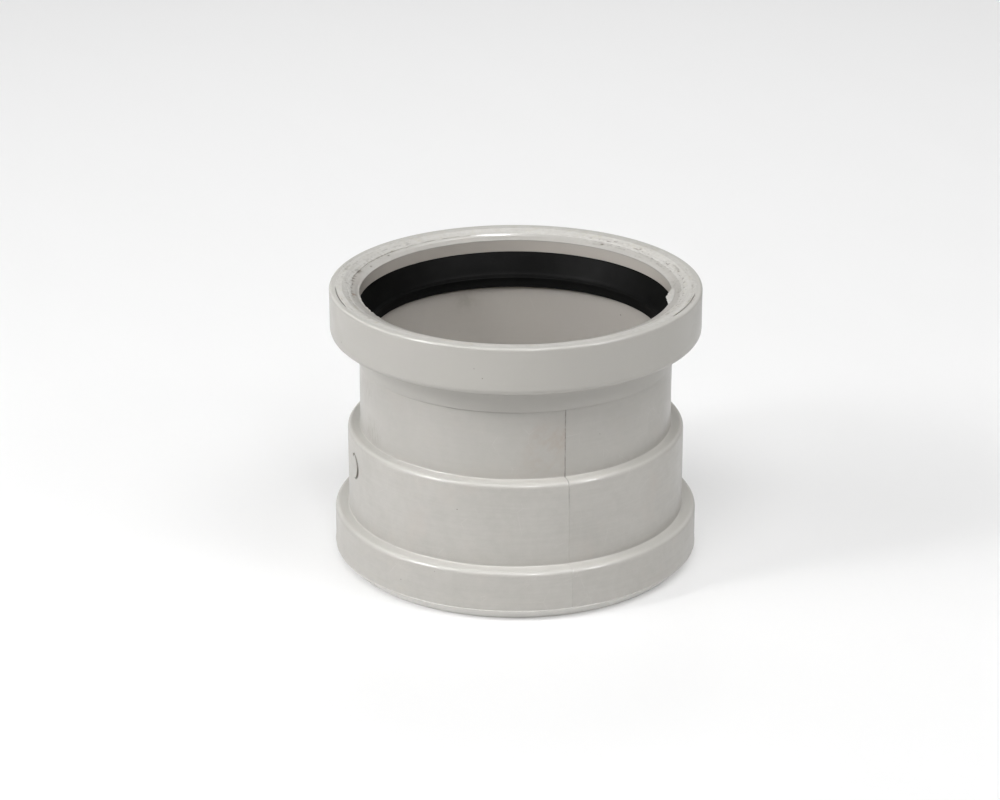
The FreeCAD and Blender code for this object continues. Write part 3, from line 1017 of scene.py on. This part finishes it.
def make_gate_mark():
    """The low disc where the sprue was cut off: rounded edge, dished face and a torn nub."""
    rings = ((0.0, 0.30), (0.22, 0.34), (0.45, 0.42), (0.7, 0.52), (0.88, 0.6), (0.95, 0.58),
             (0.99, 0.46), (1.0, 0.3), (1.0, -1.4), (0.5, -1.4), (0.0, -1.4))
    around = np.arange(72) * math.tau / 72
    share, angle = np.meshgrid([r[0] for r in rings], around, indexing="ij")
    rise = np.broadcast_to(np.array([r[1] for r in rings])[:, None], share.shape)
    sideways = share * GATE_RADIUS * np.cos(angle)
    upward = share * GATE_RADIUS * np.sin(angle)
    torn = 0.5 * bump(sideways, 0.6, 1.1) * bump(upward, -0.4, 0.9)
    rough = 0.06 * np.sin(3.1 * sideways + 1) * np.sin(2.7 * upward)
    rise = rise + (torn + rough) * (rise > 0)
    turn = math.radians(GATE_BEARING)
    forward = np.array((math.sin(turn), -math.cos(turn), 0.0))
    across = np.array((math.cos(turn), math.sin(turn), 0.0))
    centre = forward * BARREL_RADIUS + np.array((0.0, 0.0, GATE_HEIGHT))
    points = (centre + forward * rise[..., None] + across * sideways[..., None]
              + np.array((0.0, 0.0, 1.0)) * upward[..., None])
    faces = closed_grid(*share.shape, wrap_rows=False)
    piece = make_piece("gate_mark", points * MM, faces, BODY_GREY)
    close_tips(piece)


def close_tips(piece):
    """Welds the rows of points that a grid gathers into one point."""
    mesh = bmesh.new()
    mesh.from_mesh(piece.data)
    bmesh.ops.remove_doubles(mesh, verts=mesh.verts, dist=0.002 * MM)
    mesh.to_mesh(piece.data)
    mesh.free()


FLASH_BEARINGS = (74.5, 76.5, 80.0, 82.0, 84.5, 87.5, 91.5)
FLASH_REACH = (0.0, 1.2, 2.4, 2.9, 2.2, 1.5, 0.0)


def make_torn_flash():
    """A torn scrap of cement that hangs from the mouth's edge over the seal."""
    turns = np.linspace(FLASH_BEARINGS[0], FLASH_BEARINGS[-1], 61)
    share = np.concatenate((np.linspace(0, 1, 9), np.linspace(1, 0, 9)))
    bearing, inward = np.meshgrid(turns, share, indexing="ij")
    above = np.where(np.arange(18) < 9, 1.0, 0.0)
    size = np.interp(bearing, FLASH_BEARINGS, FLASH_REACH)
    size = size * (1 + 0.12 * ring_noise(121, 300, 1.0, bearing, 0 * inward))
    root = 1.4 * np.minimum(size, 1)
    radius = MOUTH_RADIUS + root - inward * (size + root)
    thick = np.minimum(size, 1) * (0.75 - 0.5 * inward)
    curl = 0.25 * np.sin(2.2 * inward) * np.minimum(size, 1)
    lumps = 0.1 * ring_noise(122, 260, 0.5, bearing, radius) * np.minimum(size, 1)
    base = MOUTH_EDGE + 0.35 * root - 0.55 * inward * np.minimum(size, 1)
    height = base + curl + (thick + lumps) * above
    points = ring_points(radius, height, bearing)
    piece = make_piece("torn_flash", points, closed_grid(*radius.shape, wrap_rows=False),
                       FILM)
    set_mark(piece, "dirt", 0 * radius)
    close_tips(piece)


def make_all():
    make_body()
    make_collar()
    make_retaining_ring()
    make_mouth_ring()
    make_upper_seal()
    make_lower_seal()
    make_end_ring()
    make_film("outer_seam_cement", OUTER_SEAM, width=1.3, proud=0.12, gaps=OPEN_SEAMS, seed=101)
    make_film("inner_seam_cement", INNER_SEAM + 0.3, width=1.7, proud=0.16,
              gaps=((-163, -96),), seed=111)
    make_foot_bead()
    make_gate_mark()
    make_torn_flash()


# ---------------------------------------------------------------- stage, lights and camera

FLOOR_SIZE = 12000.0
AIM = (-8.43, 0.0, 86.06)
CAMERA_DISTANCE = 1622.5
CAMERA_ELEVATION = 21.73
LENS = 107.29
SKY = 0.02


def around(bearing, elevation, distance, centre=AIM):
    """A place in metres, seen from the centre at a bearing, an elevation and a distance in mm."""
    turn, rise = math.radians(bearing), math.radians(elevation)
    step = Vector((math.sin(turn) * math.cos(rise), -math.cos(turn) * math.cos(rise),
                   math.sin(rise)))
    return (Vector(centre) + step * distance) * MM


def aim_at(thing, place, centre=AIM):
    thing.location = place
    thing.rotation_euler = (Vector(centre) * MM - place).to_track_quat("-Z", "Y").to_euler()
    bpy.context.scene.collection.objects.link(thing)


def make_floor():
    """A level white square that reaches past every view."""
    mesh = bpy.data.meshes.new("studio_floor")
    half = FLOOR_SIZE * MM / 2
    corners = [(-half, -half, 0), (half, -half, 0), (half, half, 0), (-half, half, 0)]
    mesh.from_pydata(corners, [], [(0, 1, 2, 3)])
    mesh.materials.append(floor_finish())
    floor = bpy.data.objects.new("studio_floor", mesh)
    bpy.context.scene.collection.objects.link(floor)


def make_light(name, bearing, elevation, distance, size, power, gloss_only):
    """A white softbox or lamp; the size is its width and height in millimetres.

    A gloss-only light shows in the gloss and adds nothing to the diffuse colour."""
    light = bpy.data.lights.new(name, "AREA")
    light.shape = "ELLIPSE"
    light.size, light.size_y = size[0] * MM, size[1] * MM
    light.energy = power
    holder = bpy.data.objects.new(name, light)
    holder.visible_diffuse = not gloss_only
    aim_at(holder, around(bearing, elevation, distance))


SOFTBOX = (4000, 4000)
SOFTBOX_DISTANCE = 7000

# name, bearing, elevation, distance, size, power, and whether it lights only the gloss
LIGHTS = (
    ("left_low_softbox", -80, 20, SOFTBOX_DISTANCE, SOFTBOX, 148.0, False),
    ("left_high_softbox", -68, 46, SOFTBOX_DISTANCE, SOFTBOX, 30.0, False),
    ("front_softbox", -12, 61, SOFTBOX_DISTANCE, SOFTBOX, 194.0, False),
    ("right_softbox", 60, 58, SOFTBOX_DISTANCE, SOFTBOX, 128.0, False),
    ("back_left_softbox", -145, 30, SOFTBOX_DISTANCE, SOFTBOX, 36.0, False),
    ("back_right_softbox", 145, 30, SOFTBOX_DISTANCE, SOFTBOX, 40.0, False),
    ("left_lamp", -62, 36, 1500, (260, 420), 6.0, False),
    ("right_lamp", 56, 36, 1500, (120, 240), 2.0, False),
    ("front_lamp", 12, 40, 1700, (160, 320), 2.6, False),
    ("left_sparkle", -62, 36, 1500, (150, 480), 27.0, True),
    ("right_sparkle", 56, 36, 1500, (110, 380), 15.0, True),
    ("front_sparkle", 12, 40, 1700, (90, 440), 17.0, True),
    ("back_lamp", 177.7, 48.8, 1600, (20, 350), 1.0, False),
    ("back_window", 172.6, 47.5, 1600, (50, 350), 1.0, False),
    ("back_right_lamp", 191.0, 46.5, 1600, (40, 300), 0.8, False),
)


def make_lights():
    """Far softboxes shape the walls; lamps and gloss-only sparkles light the rounds and the rim."""
    for light in LIGHTS:
        make_light(*light)


def make_sky():
    world = bpy.data.worlds.new("studio_sky")
    world.use_nodes = True
    background = world.node_tree.nodes["Background"]
    background.inputs["Color"].default_value = (1.0, 0.995, 0.985, 1.0)
    background.inputs["Strength"].default_value = SKY
    bpy.context.scene.world = world


def make_camera():
    """The photograph's point of view, as the fit to its ellipses found it."""
    lens = bpy.data.cameras.new("camera")
    lens.lens = LENS
    lens.sensor_width = 36.0
    lens.clip_start, lens.clip_end = 0.05, 30.0
    camera = bpy.data.objects.new("camera", lens)
    aim_at(camera, around(0, CAMERA_ELEVATION, CAMERA_DISTANCE))
    bpy.context.scene.camera = camera


make_all()
make_floor()
make_lights()
make_sky()
make_camera()
bpy.context.scene.view_settings.view_transform = "Standard"
